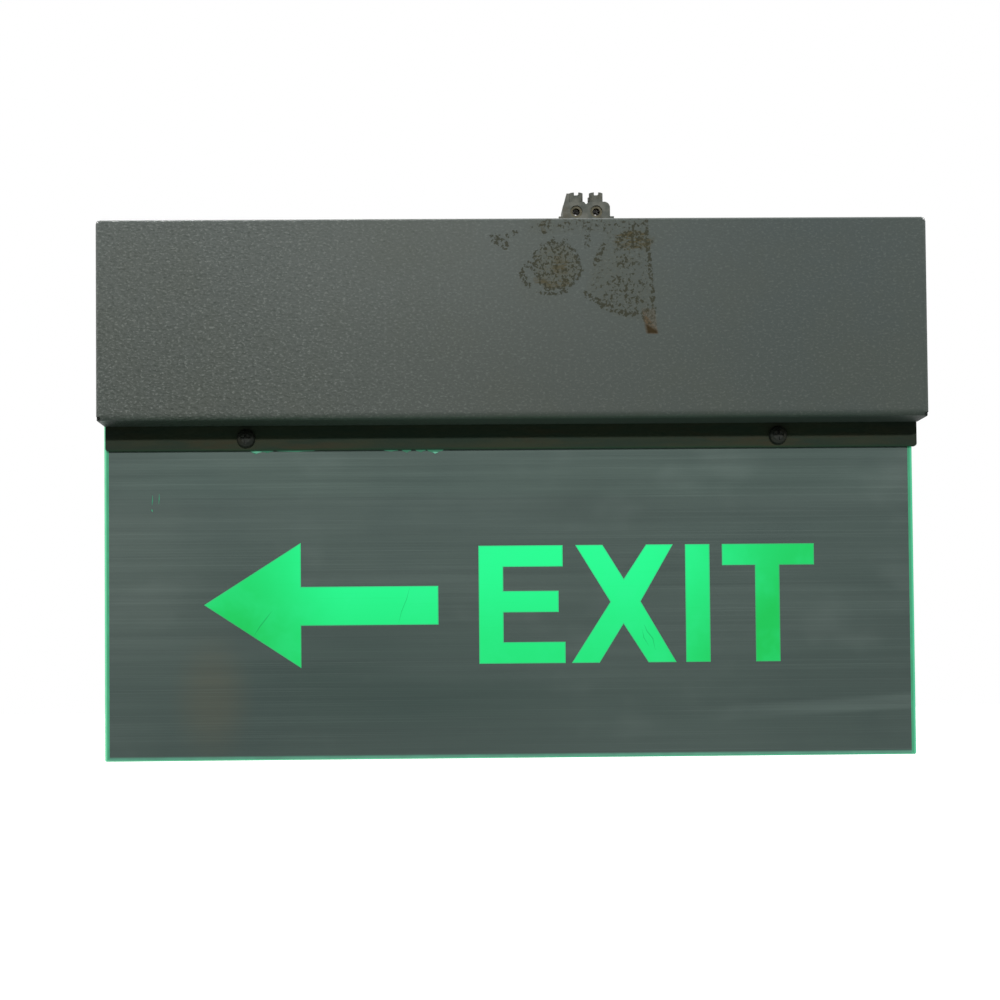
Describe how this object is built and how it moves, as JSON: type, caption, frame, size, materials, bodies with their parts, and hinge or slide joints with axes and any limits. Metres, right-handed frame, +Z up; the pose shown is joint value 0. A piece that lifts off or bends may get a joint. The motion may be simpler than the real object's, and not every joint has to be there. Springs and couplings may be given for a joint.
{
  "type": "emergency exit light",
  "caption": "Wall-mounted emergency exit light: textured steel gear box with an edge-lit acrylic sign panel clamped below it, terminal block on top and a side test button.",
  "frame": {"origin": "middle of the four wall-fixing holes, on the plane of the wall", "axes": "+X to the right seen from the front, +Y into the wall, +Z up; the sign faces -Y"},
  "size_m": [0.3557, 0.05, 0.2453],
  "materials": {
    "textured_paint": "grey-green textured powder coat",
    "box_paint": "grey powder coat",
    "zinc_steel": "zinc plated",
    "dark_steel": "dulled, dark plated",
    "green_acrylic": "clear acrylic with a green tint",
    "brushed_face": "dark brushed metallic sheet",
    "white_backing": "white reflector film on sheet",
    "aluminium": "plain",
    "white_solder_mask": "white solder mask",
    "lamp_phosphor": "yellow phosphor chip",
    "cell_sleeve": "shrunk plastic sleeve",
    "lamination": "varnished silicon steel",
    "bobbin_nylon": "natural nylon",
    "winding": "taped copper winding",
    "circuit_board": "green solder mask",
    "black_plastic": "black moulding",
    "blue_sleeve": "capacitor sleeve",
    "terminal_plastic": "grey moulding, brown with dust",
    "brass": "plain",
    "rubber": "black",
    "button_plastic": "red moulding",
    "lamp_lens": "green diffused lens"
  },
  "bodies": {
    "housing": {"back_box": "box_paint", "front_cover": "textured_paint", "cover_screws": "zinc_steel", "cover_clinch_nuts": "zinc_steel", "light_panel": "green_acrylic", "face_sheet": "brushed_face", "rear_sheet": "white_backing", "clamp_strip": "textured_paint", "clamp_screws": "dark_steel", "clamp_nuts": "zinc_steel", "panel_bracket": "box_paint", "bracket_rivets": "aluminium", "led_carrier": "aluminium", "led_board": "white_solder_mask", "leds": "lamp_phosphor", "battery_pack": "cell_sleeve", "battery_straps": "zinc_steel", "battery_strap_nuts": "zinc_steel", "transformer_core": "lamination", "transformer_bobbin": "bobbin_nylon", "transformer_winding": "winding", "transformer_frame": "zinc_steel", "transformer_nuts": "zinc_steel", "earth_nuts": "brass", "board_standoffs": "zinc_steel", "control_board": "circuit_board", "board_screws": "zinc_steel", "board_capacitors": "blue_sleeve", "board_relay": "black_plastic", "board_inductor": "winding", "board_chips": "black_plastic", "board_connectors": "bobbin_nylon", "terminal_block": "terminal_plastic", "terminal_barrels": "brass", "terminal_screws": "zinc_steel", "terminal_fixing_screw": "zinc_steel", "cable_grommet": "rubber", "test_switch": "black_plastic", "test_switch_nut": "zinc_steel", "test_spring": "zinc_steel", "indicator_clip": "black_plastic", "indicator_lamp": "lamp_lens"},
    "button": {"test_button": "button_plastic"}
  },
  "joints": [
    {"name": "test_press", "type": "slide", "parent": "housing", "child": "button", "axis": [-1, 0, 0], "range_m": [0, 0.0025], "stiffness_N_per_m": 300, "springref_m": -0.002, "deforming": ["test_spring"]}
  ]
}
